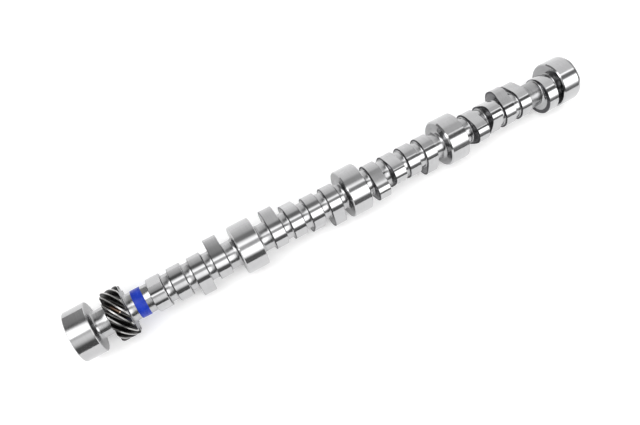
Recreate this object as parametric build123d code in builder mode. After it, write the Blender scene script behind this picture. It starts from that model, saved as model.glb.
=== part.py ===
from build123d import *
import math
import os

# Camshaft of a pushrod V8 with sixteen roller lobes, one fuel-pump eccentric and one
# distributor-drive gear. Lengths are millimetres and angles are degrees.
#
# Frame: the shaft axis is X, and +X points at the front end, where the timing sprocket
# bolts on. The origin is the centre of the middle journal, on the axis. Z is up. Roll
# angles are measured about the axis from +Z toward +Y.

# ---------------------------------------------------------------- driving dimensions
JOURNAL_D = 47.45            # five equal bearing journals
NECK_D = 26.0                # turned necks between the lobes
# journal name: (rear face x, front face x, rear chamfer, front chamfer), where a chamfer
# is (length along the shaft, depth); the front journal has a long lead-in
JOURNALS = {
    "journal_5": (-278.6, -259.3, (0.6, 0.6), (0.6, 0.6)),
    "journal_4": (-122.3, -101.4, (0.9, 0.9), (0.5, 0.5)),
    "journal_3": (-9.8, 9.8, (0.7, 0.7), (0.7, 0.7)),
    "journal_2": (101.0, 121.6, (1.4, 1.4), (0.5, 0.5)),
    "journal_1": (239.3, 260.4, (1.1, 1.1), (2.4, 0.9)),
}
JOURNAL_FILLET = 3.4         # radius where a neck runs out into a journal face

LOBE_W = 12.3                # width of each cam lobe
BASE_R = 15.9                # base circle of the lobes
LIFT = 7.5                   # nose height above the base circle
EXHAUST_HALF = 73.0          # cam degrees from the start of lift to the nose, exhaust lobes
INTAKE_HALF = 76.0           # the same for the intake lobes
ROLLER_R = 8.9               # lifter roller that the flank is generated for
LOBE_CHAMFER = 0.3
LOBE_FILLET = 1.2            # radius where a neck meets the side of a lobe
FLANK_POINTS = 33

ROLL = 81.5                  # roll angle of the lobes marked 0 in the list below
# centre x of each lobe, its nose angle before ROLL is added, and its half duration, rear
# to front: exhaust 8 and 7, intake 8 and 7, intake 6 and 5, exhaust 6 and 5, exhaust 4
# and 3, intake 4 and 3, intake 2 and 1, exhaust 2 and 1. The two banks of lifters are 97
# degrees apart, so the even lobes are 3.5 degrees further round and the odd ones less.
LOBES = [
    (-199.60, 248.5, EXHAUST_HALF), (-179.80, 106.5, EXHAUST_HALF),
    (-160.00, 138.5, INTAKE_HALF), (-140.20, -3.5, INTAKE_HALF),
    (-82.95, 3.5, INTAKE_HALF), (-63.05, 41.5, INTAKE_HALF),
    (-43.15, 113.5, EXHAUST_HALF), (-23.25, 151.5, EXHAUST_HALF),
    (24.20, 203.5, EXHAUST_HALF), (44.10, 241.5, EXHAUST_HALF),
    (64.00, 93.5, INTAKE_HALF), (83.90, 131.5, INTAKE_HALF),
    (139.90, 228.5, INTAKE_HALF), (159.50, 266.5, INTAKE_HALF),
    (179.10, 338.5, EXHAUST_HALF), (198.70, 16.5, EXHAUST_HALF),
]

ECC_X = (222.0, 233.8)       # fuel-pump eccentric, a plain disc set off the axis
ECC_R = 18.9
ECC_OFFSET = 4.4
ECC_ANGLE = 250.0            # roll angle of its high side
ECC_CHAMFER = 0.4
ECC_FILLET = 0.9             # radius where the neck meets its low side
# flare behind it, as circles: (distance behind the rear face, offset, radius)
ECC_FLARE = [(1.8, 0.8, 12.1), (0.7, 2.4, 13.3), (0.0, 4.2, 14.9)]

GEAR_X = (-245.0, -228.5)    # distributor-drive gear, right-hand helical
TEETH = 13
GEAR_TIP_R = 23.4
GEAR_ROOT_R = 18.9
GEAR_CHAMFER = 0.9
GEAR_FILLET = 1.2
LEAD = 84.2                  # axial advance of a tooth in one turn
SPACE_TIP_HALF = 10.6        # half angle of a tooth space at the tip circle
SPACE_ROOT_HALF = 3.9        # half angle of a tooth space at the root circle
TOOTH_PHASE_X = -236.25      # a tooth is centred on TOOTH_PHASE at this x
TOOTH_PHASE = -21.1
GEAR_SECTIONS = 9

BAND_X = (-221.8, -212.0)    # painted identification band on the rear neck
BAND_T = 0.4

NOSE_PILOT_D = 22.2          # short register on the front face that centres the sprocket
NOSE_PILOT_L = 4.0
SPROCKET_PCD = 31.75         # three tapped holes for the sprocket
SPROCKET_HOLE_D = 6.6
SPROCKET_HOLE_DEPTH = 15.0
SPROCKET_HOLES = 3
SPROCKET_HOLE_ANGLE = 90.0   # roll angle of the first hole
DOWEL_D = 7.94               # timing dowel on the same circle
DOWEL_ANGLE = 150.0
DOWEL_HOLE_DEPTH = 14.0
DOWEL_IN = 13.0              # length pressed into the shaft
DOWEL_OUT = 9.0              # length left proud of the front face
DOWEL_CHAMFER = 0.8

CENTRE_CONE_R = 5.0          # 60-degree lathe centres in both ends
CENTRE_DRILL_R = 2.0
CENTRE_DEPTH = 10.0

# ------------------------------------------------------------------ derived sizes
R_J = JOURNAL_D / 2
R_N = NECK_D / 2
CONE_L = (CENTRE_CONE_R - CENTRE_DRILL_R) / math.tan(math.radians(30))
REAR_X = JOURNALS["journal_5"][0]
FRONT_FACE_X = JOURNALS["journal_1"][1]
PILOT_X = FRONT_FACE_X + NOSE_PILOT_L


def roll_dir(angle):
    """Unit vector at a roll angle about the shaft axis."""
    a = math.radians(angle)
    return Vector(0, math.sin(a), math.cos(a))


def flank_points(half):
    """Lobe outline from one end of the lift to the other, with the nose on local +X.

    The roller centre follows a smooth lift curve, and the surface is one roller radius
    inside its path.
    """
    points = []
    for i in range(FLANK_POINTS):
        t = half * math.sin(math.pi / 2 * (2 * i / (FLANK_POINTS - 1) - 1))
        u = 1 - abs(t) / half
        lift = LIFT * (10 * u**3 - 15 * u**4 + 6 * u**5)
        slope = -math.copysign(1, t) * LIFT * 30 * (u**2 - 2 * u**3 + u**4) / half
        rho = BASE_R + ROLLER_R + lift
        dx = slope * math.cos(t) - rho * math.sin(t)
        dy = slope * math.sin(t) + rho * math.cos(t)
        n = math.hypot(dx, dy)
        points.append((rho * math.cos(t) - ROLLER_R * dy / n, rho * math.sin(t) + ROLLER_R * dx / n))
    return points


# Everything turned on the lathe, rear to front: (x0, x1, rear chamfer, front chamfer,
# radius, rear fillet, front fillet). A lobe or the eccentric is only a small hub here, as
# high as the fillets.
SHARP = (0, 0)
turned = [(*j, R_J, JOURNAL_FILLET, JOURNAL_FILLET) for j in JOURNALS.values()]
turned[-1] = (*turned[-1][:5], 1.4, 0)
turned += [(x - LOBE_W / 2, x + LOBE_W / 2, SHARP, SHARP, R_N + LOBE_FILLET, LOBE_FILLET, LOBE_FILLET) for x, *_ in LOBES]
turned.append((*GEAR_X, (GEAR_CHAMFER,) * 2, (GEAR_CHAMFER,) * 2, GEAR_TIP_R, GEAR_FILLET, GEAR_FILLET))
turned.append((*ECC_X, SHARP, SHARP, R_N + ECC_FILLET, ECC_FILLET, ECC_FILLET))
turned.sort()

# -------------------------------------------------------------------- tooth space
# One gap between two gear teeth, lofted along local Z, which becomes the shaft axis. Its
# sections turn with the helix, and it runs a little past both faces of the gear.
with BuildPart() as tooth_space:
    for i in range(GEAR_SECTIONS):
        x = GEAR_X[0] - 0.6 + (GEAR_X[1] - GEAR_X[0] + 1.2) * i / (GEAR_SECTIONS - 1)
        roll = TOOTH_PHASE + 180 / TEETH - 360 * (x - TOOTH_PHASE_X) / LEAD
        # on the YZ plane, local X is the row's +Y and local Y is its +Z
        mid = 90 - roll
        over = (SPACE_TIP_HALF - SPACE_ROOT_HALF) / (GEAR_TIP_R - GEAR_ROOT_R) * 1.3
        corners = [
            (GEAR_ROOT_R, -SPACE_ROOT_HALF), (GEAR_TIP_R + 1.3, -SPACE_TIP_HALF - over),
            (GEAR_TIP_R + 1.3, SPACE_TIP_HALF + over), (GEAR_ROOT_R, SPACE_ROOT_HALF),
        ]
        with BuildSketch(Plane.XY.offset(x)):
            with BuildLine():
                Polyline(
                    *[(r * math.cos(math.radians(mid + a)), r * math.sin(math.radians(mid + a))) for r, a in corners],
                    close=True,
                )
            make_face()
    loft()

# ----------------------------------------------------------------------- camshaft
with BuildPart() as camshaft:
    # one turned bar: necks, journals, gear blank, lathe centres and front register
    with BuildSketch(Plane.XZ) as profile:
        with BuildLine():
            at = (REAR_X + CENTRE_DEPTH, 0)
            for step in (
                (REAR_X + CENTRE_DEPTH, CENTRE_DRILL_R),
                (REAR_X + CONE_L, CENTRE_DRILL_R),
                (REAR_X, CENTRE_CONE_R),
            ):
                Line(at, step)
                at = step
            for x0, x1, (c0, d0), (c1, d1), r, f0, f1 in turned:
                if x0 > REAR_X:
                    # along the neck, then up its fillet to the rear face of the collar
                    Line(at, (x0 - f0, R_N))
                    RadiusArc((x0 - f0, R_N), (x0, R_N + f0), -f0)
                    at = (x0, R_N + f0)
                for step in ((x0, r - d0), (x0 + c0, r), (x1 - c1, r), (x1, r - d1)):
                    if math.dist(at, step) > 1e-6:
                        Line(at, step)
                        at = step
                if x1 < FRONT_FACE_X:
                    if r - d1 > R_N + f1 + 1e-6:
                        Line(at, (x1, R_N + f1))
                    RadiusArc((x1, R_N + f1), (x1 + f1, R_N), -f1)
                    at = (x1 + f1, R_N)
            for step in (
                (FRONT_FACE_X, NOSE_PILOT_D / 2),
                (PILOT_X - 0.6, NOSE_PILOT_D / 2),
                (PILOT_X, NOSE_PILOT_D / 2 - 0.6),
                (PILOT_X, CENTRE_CONE_R),
                (PILOT_X - CONE_L, CENTRE_DRILL_R),
                (PILOT_X - CENTRE_DEPTH, CENTRE_DRILL_R),
                (PILOT_X - CENTRE_DEPTH, 0),
                (REAR_X + CENTRE_DEPTH, 0),
            ):
                Line(at, step)
                at = step
        make_face()
    revolve(axis=Axis.X)

    # sixteen lobes, each drawn with its nose on the local X of its own rolled plane
    for x_mid, nose, duration in LOBES:
        rolled = Plane(origin=(x_mid - LOBE_W / 2, 0, 0), x_dir=roll_dir(ROLL + nose), z_dir=(1, 0, 0))
        half = math.radians(duration)
        outline = flank_points(half)
        with BuildSketch(rolled):
            with BuildLine():
                Spline(
                    *outline,
                    tangents=[
                        (math.sin(half), math.cos(half)),
                        (-math.sin(half), math.cos(half)),
                    ],
                )
                ThreePointArc(outline[-1], (-BASE_R, 0), outline[0])
            make_face()
        extrude(amount=LOBE_W)
        rim = camshaft.edges(Select.LAST).filter_by(lambda e: e.length > 30 and e.geom_type != GeomType.LINE)
        rim = rim.filter_by(lambda e: e.geom_type == GeomType.BSPLINE or e.radius > R_N + LOBE_FILLET + 0.5)
        chamfer(rim, LOBE_CHAMFER)

    # fuel-pump eccentric, with a flare behind it that follows the eccentric round
    with BuildSketch(Plane.YZ.offset(ECC_X[0])):
        high = roll_dir(ECC_ANGLE) * ECC_OFFSET
        with Locations((high.Y, high.Z)):
            Circle(ECC_R)
    extrude(amount=ECC_X[1] - ECC_X[0])
    rim = camshaft.edges(Select.LAST).filter_by(GeomType.CIRCLE).filter_by(lambda e: abs(e.radius - ECC_R) < 1e-6)
    chamfer(rim, ECC_CHAMFER)
    for back, offset, radius in ECC_FLARE:
        with BuildSketch(Plane.YZ.offset(ECC_X[0] - back)):
            spot = roll_dir(ECC_ANGLE) * offset
            with Locations((spot.Y, spot.Z)):
                Circle(radius)
    loft()

    # gear teeth: thirteen tooth spaces cut out of the turned blank
    with Locations(Plane.YZ):
        with PolarLocations(0, TEETH):
            add(tooth_space.part, mode=Mode.SUBTRACT)

    # three tapped holes for the sprocket, modelled at their minor diameter
    for k in range(SPROCKET_HOLES):
        spot = roll_dir(SPROCKET_HOLE_ANGLE + 360 * k / SPROCKET_HOLES) * (SPROCKET_PCD / 2)
        with Locations(Plane(origin=(FRONT_FACE_X, spot.Y, spot.Z), x_dir=(0, 1, 0), z_dir=(1, 0, 0))):
            Hole(radius=SPROCKET_HOLE_D / 2, depth=SPROCKET_HOLE_DEPTH)

    # blind hole for the timing dowel
    dowel_spot = roll_dir(DOWEL_ANGLE) * (SPROCKET_PCD / 2)
    with Locations(Plane(origin=(FRONT_FACE_X, dowel_spot.Y, dowel_spot.Z), x_dir=(0, 1, 0), z_dir=(1, 0, 0))):
        Hole(radius=DOWEL_D / 2, depth=DOWEL_HOLE_DEPTH)

# ---------------------------------------------------------------------- dowel pin
with BuildPart() as dowel_pin:
    with BuildSketch(Plane(origin=(FRONT_FACE_X - DOWEL_IN, dowel_spot.Y, dowel_spot.Z), x_dir=(0, 1, 0), z_dir=(1, 0, 0))):
        Circle(DOWEL_D / 2)
    extrude(amount=DOWEL_IN + DOWEL_OUT)
    chamfer(dowel_pin.edges().filter_by(GeomType.CIRCLE), DOWEL_CHAMFER)

# ------------------------------------------------------------------------ id band
# thin coloured ring round the neck between the gear and the rearmost lobe
with BuildPart() as id_band:
    with BuildSketch(Plane.YZ.offset(BAND_X[0])):
        Circle(R_N + BAND_T)
        Circle(R_N, mode=Mode.SUBTRACT)
    extrude(amount=BAND_X[1] - BAND_X[0])

camshaft.part.label = "camshaft"
dowel_pin.part.label = "dowel_pin"
id_band.part.label = "id_band"

os.makedirs("parts", exist_ok=True)
for piece in (camshaft, dowel_pin, id_band):
    export_step(piece.part, f"parts/{piece.part.label}.step")
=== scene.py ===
import math

import bpy
import numpy as np
from mathutils import Matrix, Vector
from mathutils.geometry import delaunay_2d_cdt


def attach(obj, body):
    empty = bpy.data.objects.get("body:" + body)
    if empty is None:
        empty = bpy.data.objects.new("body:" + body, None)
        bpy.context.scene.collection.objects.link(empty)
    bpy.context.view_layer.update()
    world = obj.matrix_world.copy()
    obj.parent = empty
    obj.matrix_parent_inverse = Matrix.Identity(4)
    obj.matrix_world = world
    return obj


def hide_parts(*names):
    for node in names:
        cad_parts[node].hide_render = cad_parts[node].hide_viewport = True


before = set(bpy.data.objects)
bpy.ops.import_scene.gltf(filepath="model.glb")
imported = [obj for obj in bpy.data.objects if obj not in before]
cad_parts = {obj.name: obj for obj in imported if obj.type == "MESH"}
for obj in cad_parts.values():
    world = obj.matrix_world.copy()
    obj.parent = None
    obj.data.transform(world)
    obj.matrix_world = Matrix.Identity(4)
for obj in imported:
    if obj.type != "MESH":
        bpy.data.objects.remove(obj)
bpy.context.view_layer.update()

# Frame: shaft axis on X, +X toward the front end, origin at the centre of the middle
# journal, +Z up. Roll angles are about the axis, from +Z toward +Y. The numbers below are
# millimetres, and MM turns them into metres.
MM = 0.001

# ------------------------------------------------------------------ sizes of the shaft
R_J, R_N = 23.725, 13.0
# rear face, front face, rear chamfer and front chamfer as (length, depth)
JOURNALS = [
    (-278.6, -259.3, (0.6, 0.6), (0.6, 0.6)), (-122.3, -101.4, (0.9, 0.9), (0.5, 0.5)),
    (-9.8, 9.8, (0.7, 0.7), (0.7, 0.7)), (101.0, 121.6, (1.4, 1.4), (0.5, 0.5)),
    (239.3, 260.4, (1.1, 1.1), (2.4, 0.9)),
]
J_FILLET, J1_FILLET = 3.4, 1.4
LOBE_W, BASE_R, LIFT, ROLLER_R = 12.3, 15.9, 7.5, 8.9
EX, IN = math.radians(73.0), math.radians(76.0)
LOBE_CHAMFER, LOBE_FILLET, ECC_FILLET, ROLL, RIM = 0.3, 1.2, 0.9, 81.5, 1.5
LOBES = [
    (-199.60, 248.5, EX), (-179.80, 106.5, EX), (-160.00, 138.5, IN), (-140.20, -3.5, IN),
    (-82.95, 3.5, IN), (-63.05, 41.5, IN), (-43.15, 113.5, EX), (-23.25, 151.5, EX),
    (24.20, 203.5, EX), (44.10, 241.5, EX), (64.00, 93.5, IN), (83.90, 131.5, IN),
    (139.90, 228.5, IN), (159.50, 266.5, IN), (179.10, 338.5, EX), (198.70, 16.5, EX),
]
ECC_X, ECC_R, ECC_OFF, ECC_ANGLE, ECC_CHAMFER = (222.0, 233.8), 18.9, 4.4, 250.0, 0.4
ECC_FLARE = [(1.8, 0.8, 12.1), (0.7, 2.4, 13.3), (0.0, 4.2, 14.9)]
GEAR_X, TEETH, TIP_R, ROOT_R, GEAR_CHAMFER = (-245.0, -228.5), 13, 23.4, 18.9, 0.9
LEAD, TIP_HALF, ROOT_HALF = 84.2, 10.6, 3.9
PHASE_X, PHASE = -236.25, -21.1
BAND_X, BAND_R = (-221.8, -212.0), 13.4
PILOT_R, PILOT_X = 11.1, 264.4
PCD_R, HOLE_R, HOLE_DEPTH, HOLE_ANGLE = 15.875, 3.3, 15.0, 90.0
PIN_R, PIN_ANGLE, PIN_IN, PIN_OUT, PIN_CHAMFER = 3.97, 150.0, 13.0, 9.0, 0.8
CONE_R, DRILL_R, CENTRE_DEPTH = 5.0, 2.0, 10.0
CONE_L = (CONE_R - DRILL_R) / math.tan(math.radians(30))
REAR, FRONT = JOURNALS[0][0], JOURNALS[-1][1]

PER_TOOTH = 20
GEAR_RINGS, HOLE_SEG = 18, 40
SEG = TEETH * PER_TOOTH
GROUND, LOBE, TURNED, SIDE, FLANK, CREST, FACE, WEB, DULL = range(9)


# ----------------------------------------------------------------- one skin for the shaft
class Skin:
    """A closed skin made of rings round the X axis, from the rear end to the front."""

    def __init__(self):
        self.verts, self.faces, self.mats, self.last = [], [], [], None

    def point(self, x, r, a):
        self.verts.append((x * MM, r * math.sin(a) * MM, r * math.cos(a) * MM))
        return len(self.verts) - 1

    def centre(self, x):
        self.last = self.point(x, 0, 0)
        self.fan = True

    def ring(self, x, r, a, mat, join=True):
        start = len(self.verts)
        r = np.broadcast_to(np.asarray(r, float), (SEG,))
        for ri, ai in zip(r, a):
            self.point(x, ri, ai)
        if self.last is not None and join:
            for j in range(SEG):
                k = (j + 1) % SEG
                if self.fan:
                    self.faces.append((self.last, start + j, start + k))
                else:
                    self.faces.append((self.last + j, start + j, start + k, self.last + k))
                self.mats.append(mat if isinstance(mat, int) else mat[j])
        self.fan = False
        self.last = start
        return start

    def close(self, x, mat):
        c = self.point(x, 0, 0)
        for j in range(SEG):
            self.faces.append((self.last + j, c, self.last + (j + 1) % SEG))
            self.mats.append(mat)


STEP = 2 * math.pi / SEG
EVEN = np.arange(SEG) * STEP


def lobe_radii(nose, half, roll):
    """Radius of the cam outline at the given roll angles, from the roller's path."""
    t = np.linspace(-half, half, 801)
    u = 1 - np.abs(t) / half
    lift = LIFT * (10 * u**3 - 15 * u**4 + 6 * u**5)
    slope = -np.sign(t) * LIFT * 30 * (u**2 - 2 * u**3 + u**4) / half
    rho = BASE_R + ROLLER_R + lift
    dx, dy = slope * np.cos(t) - rho * np.sin(t), slope * np.sin(t) + rho * np.cos(t)
    n = np.hypot(dx, dy)
    px, py = rho * np.cos(t) - ROLLER_R * dy / n, rho * np.sin(t) + ROLLER_R * dx / n
    ang, rad = np.arctan2(py, px), np.hypot(px, py)
    # local X is the nose and local Y runs the way the roll angle falls
    rel = (-(roll - math.radians(nose)) + math.pi) % (2 * math.pi) - math.pi
    return np.interp(rel, ang, rad, left=BASE_R, right=BASE_R)


def offset_circle(roll, offset=ECC_OFF, radius=ECC_R):
    rel = roll - math.radians(ECC_ANGLE)
    return offset * np.cos(rel) + np.sqrt(radius**2 - (offset * np.sin(rel)) ** 2)


def tooth_ring(x, cap):
    """Radii and roll angles of the gear outline at x, with nothing above radius cap. Each
    tooth has a crest with broken corners, two slightly full flanks and a rounded root."""
    cut = (TIP_R - cap) / (TIP_R - ROOT_R)
    half_tip = 180 / TEETH - TIP_HALF + (TIP_HALF - ROOT_HALF) * cut
    crest = [(cap, -0.88 * half_tip), (cap, -0.30 * half_tip), (cap, 0.30 * half_tip), (cap, 0.88 * half_tip)]
    side = [(cap - 0.12, half_tip + 0.03)]
    for s in (0.07, 0.34, 0.63, 0.86):
        s = cut + s * (1 - cut)
        side.append((
            TIP_R - (TIP_R - ROOT_R) * s,
            180 / TEETH - TIP_HALF + (TIP_HALF - ROOT_HALF) * s + 0.30 * math.sin(math.pi * s),
        ))
    side += [(ROOT_R + 0.24, 10.25), (ROOT_R + 0.03, 11.0), (ROOT_R, 12.9)]
    outline = [(r, -a) for r, a in reversed(side)] + crest + side
    turn = PHASE - 360 * (x - PHASE_X) / LEAD
    radii = np.array([r for _ in range(TEETH) for r, _ in outline])
    angles = np.array([math.radians(turn + 360 / TEETH * k + a) for k in range(TEETH) for _, a in outline])
    return radii, angles


# faces between neighbouring outline points: the crest is ground bright
TOOTH_MATS = [FLANK] * 8 + [CREST] * 3 + [FLANK] * 9
assert len(TOOTH_MATS) == PER_TOOTH


def fillet_up(skin, x, radius, ang, steps, mat):
    """From the neck up into the face at x, a quarter circle."""
    skin.ring(x - radius, R_N, ang, TURNED)
    for i in range(1, steps + 1):
        b = math.pi / 2 * i / steps
        skin.ring(x - radius + radius * math.sin(b), R_N + radius * (1 - math.cos(b)), ang, mat)


def web_edge(rad, fillet, chamfer):
    """Radius where the dark rim on the side of a lobe gives way to the paler web inside."""
    return np.maximum(rad - chamfer - RIM, R_N + fillet + 0.05)


def fillet_down(skin, x, radius, ang, steps, mat, face=SIDE):
    """From the face at x down onto the neck, a quarter circle."""
    skin.ring(x, R_N + radius, ang, face)
    for i in range(1, steps + 1):
        b = math.pi / 2 * i / steps
        skin.ring(x + radius * (1 - math.cos(b)), R_N + radius * (1 - math.sin(b)), ang, mat)


def flare(skin, x, ang):
    """Up from the neck to the rear face of the eccentric: a small radius on its low side,
    and a hollow cone that follows the eccentric round on its high side."""
    skin.ring(x - ECC_FLARE[0][0], R_N, ang, DULL)
    backs, offsets, radii = (np.array(v)[::-1] for v in zip(*ECC_FLARE))
    for i in range(1, 13):
        back = ECC_FLARE[0][0] * (1 - i / 12) ** 1.5
        cone = offset_circle(ang, np.interp(back, backs, offsets), np.interp(back, backs, radii))
        turned = R_N + ECC_FILLET - math.sqrt(max(0.0, ECC_FILLET**2 - max(0.0, ECC_FILLET - back) ** 2))
        skin.ring(x - back, np.maximum(turned, cone), ang, TURNED)


def build_shaft():
    skin = Skin()
    skin.centre(REAR + CENTRE_DEPTH)
    skin.ring(REAR + CENTRE_DEPTH, DRILL_R, EVEN, SIDE)
    skin.ring(REAR + CONE_L, DRILL_R, EVEN, SIDE)
    skin.ring(REAR, CONE_R, EVEN, SIDE)
    stations = [("journal", *j) for j in JOURNALS]
    stations += [("lobe", x - LOBE_W / 2, x + LOBE_W / 2, ROLL + nose, half) for x, nose, half in LOBES]
    stations += [("gear", *GEAR_X), ("ecc", *ECC_X)]
    stations.sort(key=lambda s: s[1])
    ang = EVEN
    for kind, x0, x1, *more in stations:
        if kind == "journal":
            (c0, d0), (c1, d1) = more
            if x0 > REAR:
                fillet_up(skin, x0, J1_FILLET if x1 == FRONT else J_FILLET, ang, 6, SIDE)
            skin.ring(x0, R_J - d0, ang, SIDE)
            skin.ring(x0 + c0, R_J, ang, GROUND)
            if x1 == FRONT:  # keeps the soft front edge from bending the whole journal's shading
                skin.ring(x1 - c1 - 0.8, R_J, ang, GROUND)
            skin.ring(x1 - c1, R_J, ang, GROUND)
            skin.ring(x1, R_J - d1, ang, GROUND)
            if x1 < FRONT:
                fillet_down(skin, x1, J_FILLET, ang, 6, SIDE)
        elif kind == "gear":
            r0, a0 = tooth_ring(x0, TIP_R - GEAR_CHAMFER)
            r1, a1 = tooth_ring(x1, TIP_R - GEAR_CHAMFER)
            skin.ring(x0 - 5.0, R_N, ang, TURNED)
            fillet_up(skin, x0, 1.2, a0, 3, SIDE)
            skin.ring(x0, r0, a0, SIDE)
            for i in range(GEAR_RINGS + 1):
                r, a = tooth_ring(x0 + GEAR_CHAMFER + (x1 - x0 - 2 * GEAR_CHAMFER) * i / GEAR_RINGS, TIP_R)
                skin.ring(x0 + GEAR_CHAMFER + (x1 - x0 - 2 * GEAR_CHAMFER) * i / GEAR_RINGS, r, a, TOOTH_MATS * TEETH)
            skin.ring(x1, r1, a1, TOOTH_MATS * TEETH)
            fillet_down(skin, x1, 1.2, a1, 3, SIDE)
            # the helix has turned the rings, so the ones after it start that much further round
            ang = EVEN + STEP * round((a1[0] - EVEN[0]) / STEP)
            skin.ring(x1 + 5.0, R_N, ang, TURNED)
        else:
            if kind == "lobe":
                c, rad, fillet = LOBE_CHAMFER, lobe_radii(*more, ang), LOBE_FILLET
                fillet_up(skin, x0, fillet, ang, 3, SIDE)
            else:
                c, rad, fillet = ECC_CHAMFER, offset_circle(ang), ECC_FILLET
                flare(skin, x0, ang)
            web = web_edge(rad, fillet, c)
            if kind == "lobe":
                skin.ring(x0, web, ang, WEB)
            skin.ring(x0, rad - c, ang, FACE)
            skin.ring(x0 + c, rad, ang, FACE)
            skin.ring(x1 - c, rad, ang, LOBE)
            skin.ring(x1, rad - c, ang, LOBE)
            skin.ring(x1, web, ang, FACE)
            fillet_down(skin, x1, fillet, ang, 3, SIDE, WEB)
    front_end(skin, ang)
    return skin


def front_end(skin, ang):
    """Front face with the sprocket holes and the dowel hole, then the register and the
    lathe centre. The face is a flat triangulation between its circles."""
    rim = skin.last
    base = skin.ring(FRONT, PILOT_R, ang, SIDE, join=False)
    loops = [list(range(rim, rim + SEG)), list(range(base, base + SEG))]
    circles = [(0.0, 0.0, PILOT_R + 0.01)]
    holes = [(HOLE_ANGLE + 120.0 * k, HOLE_R + 0.3) for k in range(3)] + [(PIN_ANGLE, PIN_R + 0.25)]
    for roll, r in holes:
        cy, cz = PCD_R * math.sin(math.radians(roll)), PCD_R * math.cos(math.radians(roll))
        loop = []
        for i in range(HOLE_SEG):
            b = 2 * math.pi * i / HOLE_SEG
            skin.verts.append((FRONT * MM, (cy + r * math.sin(b)) * MM, (cz + r * math.cos(b)) * MM))
            loop.append(len(skin.verts) - 1)
        loops.append(loop)
        circles.append((cy, cz, r))
    order = [v for loop in loops for v in loop]
    flat = [Vector((skin.verts[v][1] / MM, skin.verts[v][2] / MM)) for v in order]
    at, edges = 0, []
    for loop in loops:
        edges += [(at + i, at + (i + 1) % len(loop)) for i in range(len(loop))]
        at += len(loop)
    got, _, tris, vert_ids, _, _ = delaunay_2d_cdt(flat, edges, [], 1, 1e-7)
    assert len(got) == len(flat)
    back = {i: order[ids[0]] for i, ids in enumerate(vert_ids)}
    for tri in tris:
        cy, cz = sum(got[i].x for i in tri) / 3, sum(got[i].y for i in tri) / 3
        if any(math.hypot(cy - y, cz - z) < r * 0.999 for y, z, r in circles):
            continue
        a, b, c = (got[i] for i in tri)
        turn = (b.x - a.x) * (c.y - a.y) - (b.y - a.y) * (c.x - a.x)
        face = [back[i] for i in tri]
        # Y cross Z is +X, which is the way this face looks
        skin.faces.append(tuple(face if turn > 0 else reversed(face)))
        skin.mats.append(SIDE)
    # walls of the four holes; the three for the sprocket are tapped
    for n, (roll, r) in enumerate(holes):
        cy, cz = circles[n + 1][:2]
        prev = loops[n + 2]
        if n < 3:
            steps = [(FRONT - 0.3, HOLE_R)]
            x = FRONT - 0.3
            while x > FRONT - HOLE_DEPTH + 2.2:
                steps += [(x - 0.62, HOLE_R + 0.42), (x - 0.79, HOLE_R + 0.42), (x - 1.41, HOLE_R)]
                x -= 1.41
            steps += [(FRONT - HOLE_DEPTH, HOLE_R)]
        else:
            steps = [(FRONT - 0.25, PIN_R + 0.004), (FRONT - PIN_IN - 1.0, PIN_R + 0.004)]
        for x, rr in steps:
            ring = []
            for i in range(HOLE_SEG):
                b = 2 * math.pi * i / HOLE_SEG
                skin.verts.append((x * MM, (cy + rr * math.sin(b)) * MM, (cz + rr * math.cos(b)) * MM))
                ring.append(len(skin.verts) - 1)
            for i in range(HOLE_SEG):
                k = (i + 1) % HOLE_SEG
                skin.faces.append((prev[i], ring[i], ring[k], prev[k]))
                skin.mats.append(TURNED)
            prev = ring
        skin.verts.append((steps[-1][0] * MM, cy * MM, cz * MM))
        for i in range(HOLE_SEG):
            skin.faces.append((prev[(i + 1) % HOLE_SEG], prev[i], len(skin.verts) - 1))
            skin.mats.append(TURNED)
    skin.last = base
    skin.ring(PILOT_X - 0.6, PILOT_R, ang, GROUND)
    skin.ring(PILOT_X, PILOT_R - 0.6, ang, GROUND)
    skin.ring(PILOT_X, CONE_R, ang, SIDE)
    skin.ring(PILOT_X - CONE_L, DRILL_R, ang, SIDE)
    skin.ring(PILOT_X - CENTRE_DEPTH, DRILL_R, ang, SIDE)
    skin.close(PILOT_X - CENTRE_DEPTH, SIDE)


def mesh_object(name, verts, faces, mats, materials, sharp=32.0):
    me = bpy.data.meshes.new(name)
    me.from_pydata(verts, [], faces)
    for m in materials:
        me.materials.append(m)
    me.polygons.foreach_set("material_index", np.asarray(mats, np.int32))
    me.polygons.foreach_set("use_smooth", np.ones(len(me.polygons), bool))
    me.set_sharp_from_angle(angle=math.radians(sharp))
    me.update()
    ob = bpy.data.objects.new(name, me)
    bpy.context.scene.collection.objects.link(ob)
    return ob


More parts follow.
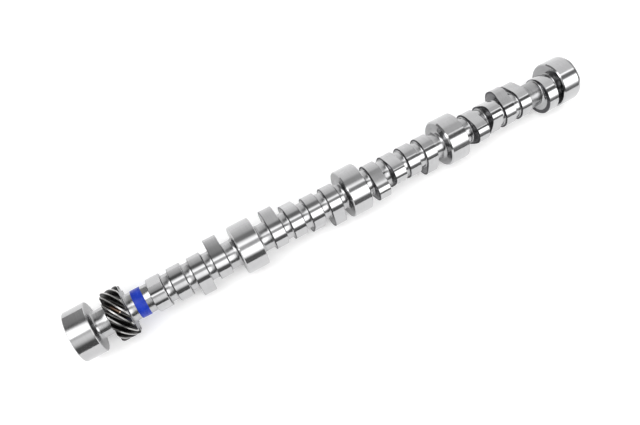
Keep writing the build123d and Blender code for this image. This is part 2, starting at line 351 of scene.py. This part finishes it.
# ------------------------------------------------------------------------ materials
class Nodes:
    """Small helper for a node tree: each call adds a node and wires or sets its inputs."""

    def __init__(self, tree):
        self.tree = tree

    def add(self, kind, *inputs, out=0, **settings):
        node = self.tree.nodes.new(kind)
        for key, value in settings.items():
            setattr(node, key, value)
        for i, value in enumerate(inputs):
            if value is None:
                continue
            self.set(node.inputs[i], value)
        return node.outputs[out]

    def set(self, socket, value):
        if isinstance(value, bpy.types.NodeSocket):
            self.tree.links.new(value, socket)
        else:
            socket.default_value = value

    def math(self, operation, *inputs, clamp=False):
        return self.add("ShaderNodeMath", *inputs, operation=operation, use_clamp=clamp)

    def ramp(self, value, a, b, lo=0.0, hi=1.0, smooth=True):
        """value from a to b becomes lo to hi, and stays there outside."""
        kind = "SMOOTHSTEP" if smooth else "LINEAR"
        return self.add("ShaderNodeMapRange", value, a, b, lo, hi, interpolation_type=kind, clamp=True)

    def noise(self, vector, scale=1.0, detail=2.0, rough=0.5, distortion=0.0):
        node = self.tree.nodes.new("ShaderNodeTexNoise")
        self.set(node.inputs["Vector"], vector)
        node.inputs["Scale"].default_value = scale
        node.inputs["Detail"].default_value = detail
        node.inputs["Roughness"].default_value = rough
        node.inputs["Distortion"].default_value = distortion
        return node.outputs[0]

    def scaled(self, vector, x, y, z):
        return self.add("ShaderNodeVectorMath", vector, (x, y, z), operation="MULTIPLY")

    def mix(self, factor, a, b):
        node = self.tree.nodes.new("ShaderNodeMix")
        node.data_type = "RGBA"
        self.set(node.inputs[0], factor)
        self.set(node.inputs[6], a)
        self.set(node.inputs[7], b)
        return node.outputs[2]

    def bump(self, height, distance, strength=1.0, normal=None):
        node = self.tree.nodes.new("ShaderNodeBump")
        node.inputs["Strength"].default_value = strength
        node.inputs["Distance"].default_value = distance
        self.set(node.inputs["Height"], height)
        if normal is not None:
            self.set(node.inputs["Normal"], normal)
        return node.outputs[0]


def material(name):
    m = bpy.data.materials.new(name)
    m.use_nodes = True
    n = Nodes(m.node_tree)
    return m, n, m.node_tree.nodes["Principled BSDF"]


def rgb(r, g, b):
    return (r, g, b, 1.0)


def steel(name, dark, light, rough, pitch, line_depth, wave, wave_depth, facing=False, edge=1.0):
    """Machined steel. The tool marks run round the shaft, or on a facing they are circles
    about the axis. pitch is the spacing of the marks and wave that of the slow waviness,
    in millimetres; the depths are in micrometres. edge below 1 dulls the grazing gloss."""
    m, n, shader = material(name)
    at = n.add("ShaderNodeTexCoord", out=3)
    split = n.tree.nodes.new("ShaderNodeSeparateXYZ")
    n.set(split.inputs[0], at)
    if facing:
        radius = n.math("SQRT", n.math("ADD", n.math("MULTIPLY", split.outputs[1], split.outputs[1]), n.math("MULTIPLY", split.outputs[2], split.outputs[2])))
        across = radius
    else:
        across = split.outputs[0]
    join = n.add("ShaderNodeCombineXYZ", across, split.outputs[1], split.outputs[2])
    fine = n.noise(n.scaled(join, 1000 / pitch, 45, 45), detail=3.0, rough=0.6)
    slow = n.noise(n.scaled(join, 1000 / wave, 120, 120), detail=1.0)
    cloud = n.noise(n.scaled(at, 60, 60, 60), detail=3.0)
    shade = n.math("ADD", n.math("MULTIPLY", fine, 0.55), n.math("MULTIPLY", cloud, 0.45))
    n.set(shader.inputs["Base Color"], n.mix(n.ramp(shade, 0.3, 0.7), rgb(*dark), rgb(*light)))
    n.set(shader.inputs["Roughness"], n.ramp(n.math("ADD", n.math("MULTIPLY", fine, 0.6), n.math("MULTIPLY", cloud, 0.4)), 0.3, 0.7, rough[0], rough[1], smooth=False))
    shader.inputs["Metallic"].default_value = 1.0
    shader.inputs["Specular Tint"].default_value = rgb(edge, edge, edge)
    first = n.bump(slow, wave_depth * 1e-6 * 4)
    n.set(shader.inputs["Normal"], n.bump(fine, line_depth * 1e-6 * 4, normal=first))
    return m


def gear_steel():
    """Hobbed tooth flanks and roots: dark oiled steel with faint streaks along the teeth."""
    m, n, shader = material("gear_flank")
    at = n.add("ShaderNodeTexCoord", out=3)
    split = n.tree.nodes.new("ShaderNodeSeparateXYZ")
    n.set(split.inputs[0], at)
    roll = n.math("ARCTAN2", split.outputs[1], split.outputs[2])
    radius = n.math("SQRT", n.math("ADD", n.math("MULTIPLY", split.outputs[1], split.outputs[1]), n.math("MULTIPLY", split.outputs[2], split.outputs[2])))
    # the angle in a frame that turns with the helix is the same all along a tooth
    along = n.math("ADD", roll, n.math("MULTIPLY", split.outputs[0], 2 * math.pi / (LEAD * MM)))
    wrap_y, wrap_z = n.math("SINE", along), n.math("COSINE", along)
    teeth = n.add("ShaderNodeCombineXYZ", n.math("MULTIPLY", wrap_y, radius), n.math("MULTIPLY", wrap_z, radius), n.math("MULTIPLY", split.outputs[0], 0.12))
    streak = n.noise(n.scaled(teeth, 1500, 1500, 1500), detail=2.0)
    cloud = n.noise(n.scaled(at, 260, 260, 260), detail=3.0)
    base = n.mix(n.ramp(streak, 0.40, 0.78), rgb(0.020, 0.019, 0.019), rgb(0.20, 0.195, 0.19))
    # a brown stain along the gap between two teeth, with a coppery rub mark at its front end
    brown, copper = rgb(0.15, 0.095, 0.065), rgb(0.95, 0.78, 0.64)
    for centre, reach, colour, share in (
        ((-238.6, 1.0, 19.5), 2.8, brown, 0.75), ((-236.9, -1.5, 19.4), 2.8, brown, 0.75),
        ((-235.2, -4.0, 19.1), 2.6, brown, 0.75), ((-234.0, -5.6, 18.9), 1.3, copper, 1.0),
    ):
        spot = n.add("ShaderNodeVectorMath", at, tuple(v * MM for v in centre), operation="DISTANCE", out=1)
        rub = n.math("MULTIPLY", n.ramp(spot, reach * MM, 0.4 * reach * MM), n.ramp(cloud, 0.15, 0.5))
        base = n.mix(n.math("MULTIPLY", rub, share), base, colour)
    n.set(shader.inputs["Base Color"], base)
    n.set(shader.inputs["Roughness"], n.ramp(cloud, 0.3, 0.7, 0.26, 0.46, smooth=False))
    shader.inputs["Metallic"].default_value = 1.0
    n.set(shader.inputs["Normal"], n.bump(streak, 1.2e-5, normal=n.bump(cloud, 1.0e-5)))
    return m


def band_paint():
    """Glossy blue marking paint, laid on by hand: a little uneven in thickness."""
    m, n, shader = material("band_paint")
    at = n.add("ShaderNodeTexCoord", out=3)
    flow = n.noise(n.scaled(at, 260, 90, 90), detail=2.0)
    grain = n.noise(n.scaled(at, 1500, 1500, 1500), detail=2.0)
    n.set(shader.inputs["Base Color"], n.mix(n.ramp(flow, 0.3, 0.7), rgb(0.008, 0.033, 0.36), rgb(0.012, 0.044, 0.45)))
    n.set(shader.inputs["Roughness"], n.ramp(grain, 0.3, 0.7, 0.24, 0.34, smooth=False))
    shader.inputs["Specular IOR Level"].default_value = 0.25
    n.set(shader.inputs["Normal"], n.bump(grain, 6e-6, normal=n.bump(flow, 6e-5)))
    return m


ground = steel("ground_journal", (0.44, 0.44, 0.445), (0.49, 0.49, 0.495), (0.09, 0.16), 0.45, 0.25, 5.0, 1.2)
lobe_steel = steel("ground_lobe", (0.43, 0.43, 0.435), (0.48, 0.48, 0.485), (0.07, 0.15), 0.40, 0.30, 4.0, 1.0)
turned = steel("turned_neck", (0.39, 0.39, 0.395), (0.47, 0.47, 0.475), (0.12, 0.24), 0.55, 0.9, 3.0, 1.5)
side = steel("faced_side", (0.31, 0.31, 0.315), (0.40, 0.40, 0.405), (0.14, 0.26), 0.60, 1.2, 3.0, 1.5, facing=True, edge=0.8)
face = steel("hardened_face", (0.07, 0.07, 0.075), (0.13, 0.13, 0.135), (0.18, 0.32), 0.60, 1.2, 3.0, 1.5, facing=True, edge=0.6)
web = steel("lobe_web", (0.14, 0.14, 0.145), (0.23, 0.23, 0.235), (0.18, 0.32), 0.60, 1.2, 3.0, 1.5, facing=True, edge=0.9)
crest = steel("gear_crest", (0.38, 0.375, 0.37), (0.48, 0.475, 0.47), (0.14, 0.26), 0.50, 0.8, 2.0, 1.5)
dull = steel("rough_neck", (0.27, 0.27, 0.275), (0.36, 0.36, 0.365), (0.24, 0.36), 0.80, 1.1, 3.0, 2.0)
pin_steel = steel("dowel_steel", (0.30, 0.30, 0.305), (0.37, 0.37, 0.38), (0.12, 0.22), 0.50, 0.6, 4.0, 1.0)
flank = gear_steel()
paint = band_paint()


# --------------------------------------------------------------------------- pieces
skin = build_shaft()
shaft = mesh_object("camshaft_body", skin.verts, skin.faces, skin.mats, [ground, lobe_steel, turned, side, flank, crest, face, web, dull])
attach(shaft, "root")
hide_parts("camshaft")


def build_band():
    """The paint film as a closed ring with soft, slightly wavy edges."""
    verts, faces, seg = [], [], 192
    inner = R_N - 0.05
    top = BAND_R - inner
    for i in range(seg):
        a = 2 * math.pi * i / seg
        wav0 = 0.05 * (1 + math.sin(3 * a + 0.6)) + 0.04 * (1 + math.sin(7 * a + 2.1))
        wav1 = 0.05 * (1 + math.sin(2 * a + 2.6)) + 0.04 * (1 + math.sin(5 * a + 0.3))
        # the brush lifted a little early on the two sides
        x0, x1 = BAND_X[0] + wav0, BAND_X[1] - wav1 - 0.8 * math.sin(a + math.radians(20)) ** 2
        section = [(x0, inner), (x0 + 0.05, inner + top * 0.45), (x0 + 0.22, inner + top * 0.85), (x0 + 0.6, BAND_R)]
        section += [((x0 + x1) / 2, BAND_R)]
        section += [(x1 - 0.6, BAND_R), (x1 - 0.22, inner + top * 0.85), (x1 - 0.05, inner + top * 0.45), (x1, inner)]
        verts += [(x * MM, r * math.sin(a) * MM, r * math.cos(a) * MM) for x, r in section]
    n = len(section)
    for i in range(seg):
        for j in range(n):
            a, b = i * n + j, i * n + (j + 1) % n
            c, d = (i + 1) % seg * n + (j + 1) % n, (i + 1) % seg * n + j
            faces.append((a, b, c, d))
    return verts, faces


verts, faces = build_band()
band = mesh_object("id_band_film", verts, faces, [0] * len(faces), [paint], sharp=60.0)
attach(band, "root")
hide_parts("id_band")


def build_pin():
    """The timing dowel: a ground pin with both ends chamfered and the chamfers softened."""
    verts, faces, seg = [], [], 64
    cy, cz = PCD_R * math.sin(math.radians(PIN_ANGLE)), PCD_R * math.cos(math.radians(PIN_ANGLE))
    x0, x1, c = FRONT - PIN_IN, FRONT + PIN_OUT, PIN_CHAMFER
    section = [(x0, PIN_R - c), (x0 + c, PIN_R), (x1 - c - 0.15, PIN_R), (x1 - c + 0.06, PIN_R - 0.05), (x1 - 0.08, PIN_R - c + 0.06), (x1, PIN_R - c - 0.12)]
    for x, r in section:
        for i in range(seg):
            a = 2 * math.pi * i / seg
            verts.append((x * MM, (cy + r * math.sin(a)) * MM, (cz + r * math.cos(a)) * MM))
    verts += [(x0 * MM, cy * MM, cz * MM), (x1 * MM, cy * MM, cz * MM)]
    last = (len(section) - 1) * seg
    for i in range(seg):
        k = (i + 1) % seg
        faces.append((len(verts) - 2, i, k))
        for j in range(len(section) - 1):
            faces.append((j * seg + i, (j + 1) * seg + i, (j + 1) * seg + k, j * seg + k))
        faces.append((last + i, len(verts) - 1, last + k))
    return verts, faces


verts, faces = build_pin()
pin = mesh_object("timing_dowel", verts, faces, [0] * len(faces), [pin_steel])
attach(pin, "root")
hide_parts("dowel_pin")


# ---------------------------------------------------------------------------- stage
def floor_material():
    m, n, shader = material("studio_floor")
    at = n.add("ShaderNodeTexCoord", out=3)
    cloud = n.noise(n.scaled(at, 3, 3, 3), detail=2.0)
    n.set(shader.inputs["Base Color"], n.mix(cloud, rgb(0.86, 0.86, 0.86), rgb(0.88, 0.88, 0.88)))
    # the floor glows a little by itself: painted light that lifts the shadows on it, weaker on the far side
    split = n.tree.nodes.new("ShaderNodeSeparateXYZ")
    n.set(split.inputs[0], at)
    shader.inputs["Emission Color"].default_value = rgb(1.0, 1.0, 1.0)
    n.set(shader.inputs["Emission Strength"], n.ramp(split.outputs[1], -0.1, 0.3, 0.235, 0.165))
    shader.inputs["Roughness"].default_value = 0.9
    shader.inputs["Specular IOR Level"].default_value = 0.0
    return m


me = bpy.data.meshes.new("studio_floor")
size, z = 20.0, -R_J * MM
me.from_pydata([(-size, -size, z), (size, -size, z), (size, size, z), (-size, size, z)], [], [(0, 1, 2, 3)])
me.materials.append(floor_material())
floor = bpy.data.objects.new("studio_floor", me)
bpy.context.scene.collection.objects.link(floor)


# A low black flag on the near side, just outside the picture, hides the far stretch of the
# floor from the shaft's reflections.
def low_flag():
    m, n, shader = material("studio_flag")
    at = n.add("ShaderNodeTexCoord", out=3)
    cloth = n.noise(n.scaled(at, 400, 400, 400), detail=2.0)
    n.set(shader.inputs["Base Color"], n.mix(cloth, rgb(0.09, 0.09, 0.09), rgb(0.12, 0.12, 0.12)))
    shader.inputs["Roughness"].default_value = 0.9
    me = bpy.data.meshes.new("studio_flag")
    y, top = -0.47, 0.02
    me.from_pydata([(-3, y, z), (3, y, z), (3, y, top), (-3, y, top)], [], [(0, 1, 2, 3)])
    me.materials.append(m)
    flag = bpy.data.objects.new("studio_flag", me)
    bpy.context.scene.collection.objects.link(flag)
    for kind in ("camera", "diffuse", "transmission", "volume_scatter", "shadow"):
        setattr(flag, f"visible_{kind}", False)


low_flag()


# Studio light: one broad soft box behind the camera's side, a narrower one overhead that
# widens toward the rear end, a pale wall on the far side, and a dark room low down on the
# near side. Directions are a roll angle about X and a share along X.
def studio_light():
    world = bpy.data.worlds.new("studio")
    bpy.context.scene.world = world
    world.use_nodes = True
    n = Nodes(world.node_tree)
    back = world.node_tree.nodes["Background"]
    way = n.add("ShaderNodeTexCoord", out=0)
    split = n.tree.nodes.new("ShaderNodeSeparateXYZ")
    n.set(split.inputs[0], way)
    x, y, z = split.outputs
    roll = n.math("MULTIPLY", n.math("ARCTAN2", y, z), 180 / math.pi)

    def bend(value, *points):
        """value through straight pieces between (at, level) points, flat outside them."""
        (a0, v0), *rest = points
        total = v0
        for a1, v1 in rest:
            total = n.math("ADD", n.ramp(value, a0, a1, 0.0, v1 - v0, smooth=False), total)
            a0, v0 = a1, v1
        return total

    def band(lo, hi, soft_lo, soft_hi):
        """1 between two roll angles, with a soft edge of the given half width at each."""
        rise = n.ramp(n.math("DIVIDE", n.math("SUBTRACT", roll, lo), soft_lo), -1.0, 1.0)
        fall = n.ramp(n.math("DIVIDE", n.math("SUBTRACT", roll, hi), soft_hi), 1.0, -1.0)
        return n.math("MULTIPLY", rise, fall)

    # pale far wall: dark at its top, then brighter toward the horizon and the front end
    top = bend(x, (-0.22, 0.13), (-0.05, 0.07), (0.07, 0.26), (0.13, 0.18), (0.20, 0.18), (0.27, 0.39), (0.45, 0.55), (0.60, 0.78))
    middle = bend(x, (-0.21, 0.25), (-0.05, 0.44), (0.07, 0.56), (0.20, 0.68), (0.45, 0.78), (0.60, 0.84))
    foot = bend(x, (-0.21, 0.30), (-0.05, 0.80), (0.07, 0.90), (0.27, 0.96), (0.60, 0.92))
    wall = n.math("ADD", top, n.math("MULTIPLY", n.math("SUBTRACT", middle, top), n.ramp(roll, 27, 47)))
    wall = n.math("ADD", wall, n.math("MULTIPLY", n.math("SUBTRACT", foot, middle), n.ramp(roll, 47, 86, smooth=False)))
    # dark room low on the near side, and a grey one behind the camera
    dark = bend(x, (-0.1, 0.09), (0.2, 0.13), (0.6, 0.24))
    gap = bend(x, (-0.2, 0.62), (-0.1, 0.53), (0.12, 0.50), (0.20, 0.34), (0.30, 0.28), (0.40, 0.15), (0.50, 0.08), (0.575, 0.08), (0.595, 0.22))
    room = n.math("ADD", dark, n.math("MULTIPLY", n.math("SUBTRACT", gap, dark), n.ramp(roll, -70, -40)))
    room = n.math("ADD", room, n.math("MULTIPLY", n.math("SUBTRACT", wall, room), n.ramp(roll, -8, 8)))
    # the room is dark beyond both ends
    beyond = n.math("MULTIPLY", n.ramp(x, -0.55, -0.27, 0.8, 1.0), n.ramp(x, 0.90, 0.74, 0.25, 1.0))
    room = n.math("MULTIPLY", room, beyond)

    # soft box A, which fades toward the rear end
    lo_a = bend(x, (-0.2, -60.0), (-0.05, -61.0), (0.07, -63.5), (0.27, -66.5), (0.44, -68.0), (0.6, -68.0))
    hi_a = bend(x, (0.07, -29.5), (0.27, -28.5), (0.44, -29.0), (0.52, -31.5))
    along = bend(x, (-0.30, 0.12), (-0.2, 0.30), (-0.12, 0.33), (-0.05, 0.68), (0.07, 1.5), (0.2, 2.1), (0.5, 2.2), (0.60, 2.6), (0.70, 2.6), (0.80, 0.0))
    soft_lo, soft_hi = bend(x, (0.44, 8.0), (0.6, 13.0)), bend(x, (0.44, 5.0), (0.6, 8.0))
    box_a = n.math("MULTIPLY", band(lo_a, hi_a, soft_lo, soft_hi), along)
    # strip B, wide over the rear end and going on beyond it
    lo_b = bend(x, (-0.60, -10.0), (-0.25, -18.0), (-0.21, -18.5), (-0.15, -10.0), (0.27, -10.0), (0.40, -6.0), (0.55, -7.0), (0.57, -5.0), (0.595, -7.0))
    hi_b = bend(x, (-0.75, 24.0), (-0.60, 30.0), (-0.36, 34.0), (-0.25, 18.0), (-0.205, 18.0), (-0.18, 9.0), (0.07, 9.5), (0.14, 5.5), (0.20, 3.5), (0.27, 4.5), (0.40, -1.5), (0.55, -1.5), (0.57, 1.5), (0.595, 1.0))
    height = bend(x, (-0.40, 2.4), (-0.21, 1.7), (-0.15, 1.2), (0.07, 1.2), (0.27, 1.10), (0.40, 1.15), (0.50, 1.6), (0.70, 1.6), (0.80, 0.0))
    box_b = n.math("MULTIPLY", band(lo_b, hi_b, 4.5, bend(x, (0.27, 8.0), (0.40, 4.0))), height)

    # a small pale panel square on to each end
    box_b = n.math("ADD", box_b, n.math("ADD", n.ramp(x, 0.90, 0.97, 0.0, 1.3), n.ramp(x, -0.90, -0.97, 0.0, 0.4)))

    total = n.math("MULTIPLY", n.math("ADD", room, n.math("ADD", box_a, box_b)), 1.35)
    n.set(back.inputs["Color"], rgb(1.0, 1.0, 1.0))
    n.set(back.inputs["Strength"], total)


studio_light()


# A pale backdrop that only the camera sees stands in for the rest of the studio.
def backdrop_dome():
    verts, faces, rings, seg, r = [], [], 12, 48, 19.0
    for i in range(rings + 1):
        e = math.radians(-6 + 96 * i / rings)
        for j in range(seg):
            a = 2 * math.pi * j / seg
            verts.append((r * math.cos(e) * math.cos(a), r * math.cos(e) * math.sin(a), r * math.sin(e)))
    for i in range(rings):
        for j in range(seg):
            k = (j + 1) % seg
            faces.append((i * seg + j, i * seg + k, (i + 1) * seg + k, (i + 1) * seg + j))
    m = bpy.data.materials.new("studio_backdrop")
    m.use_nodes = True
    tree = m.node_tree
    tree.nodes.clear()
    glow = tree.nodes.new("ShaderNodeEmission")
    glow.inputs["Color"].default_value = rgb(1.0, 1.0, 1.0)
    glow.inputs["Strength"].default_value = 1.0
    out = tree.nodes.new("ShaderNodeOutputMaterial")
    tree.links.new(glow.outputs[0], out.inputs["Surface"])
    me = bpy.data.meshes.new("studio_backdrop")
    me.from_pydata(verts, [], faces)
    me.materials.append(m)
    dome = bpy.data.objects.new("studio_backdrop", me)
    bpy.context.scene.collection.objects.link(dome)
    for kind in ("diffuse", "glossy", "transmission", "volume_scatter", "shadow"):
        setattr(dome, f"visible_{kind}", False)


backdrop_dome()

# --------------------------------------------------------------------------- camera
# The camera looks down on the shaft at 70 degrees from the horizon, with the rear end near
# it at the lower left of the picture.
ELEV, SWING, DIST, FOOT, PIX = math.radians(70.0), math.radians(11.911), 547.742, -152.98, 593.675
TILT, ROLL_COS, ROLL_SIN = -math.atan(4.75 / PIX), 0.8828, 0.4698
to_cam = Vector((0, -math.cos(ELEV), math.sin(ELEV)))
up_img = Vector((0, math.sin(ELEV), math.cos(ELEV)))
along_x = Vector((1, 0, 0))
look0 = math.cos(SWING) * -to_cam + math.sin(SWING) * along_x
right0 = math.cos(SWING) * along_x + math.sin(SWING) * to_cam
down0 = math.cos(TILT) * -up_img + math.sin(TILT) * look0
look = math.cos(TILT) * look0 + math.sin(TILT) * up_img
right = (ROLL_COS * right0 + ROLL_SIN * down0).normalized()
down = (-ROLL_SIN * right0 + ROLL_COS * down0).normalized()

cam_data = bpy.data.cameras.new("camera")
cam_data.sensor_fit = "HORIZONTAL"
cam_data.sensor_width = 36.0
cam_data.lens = PIX / 640 * 36.0
cam_data.clip_start, cam_data.clip_end = 0.01, 100.0
camera = bpy.data.objects.new("camera", cam_data)
bpy.context.scene.collection.objects.link(camera)
basis = Matrix((right, -down, -look)).transposed().to_4x4()
camera.matrix_world = Matrix.Translation((Vector((FOOT, 0, 0)) + DIST * to_cam) * MM) @ basis
bpy.context.scene.camera = camera

bpy.context.scene.view_settings.view_transform = "Standard"
bpy.context.scene.view_settings.look = "None"
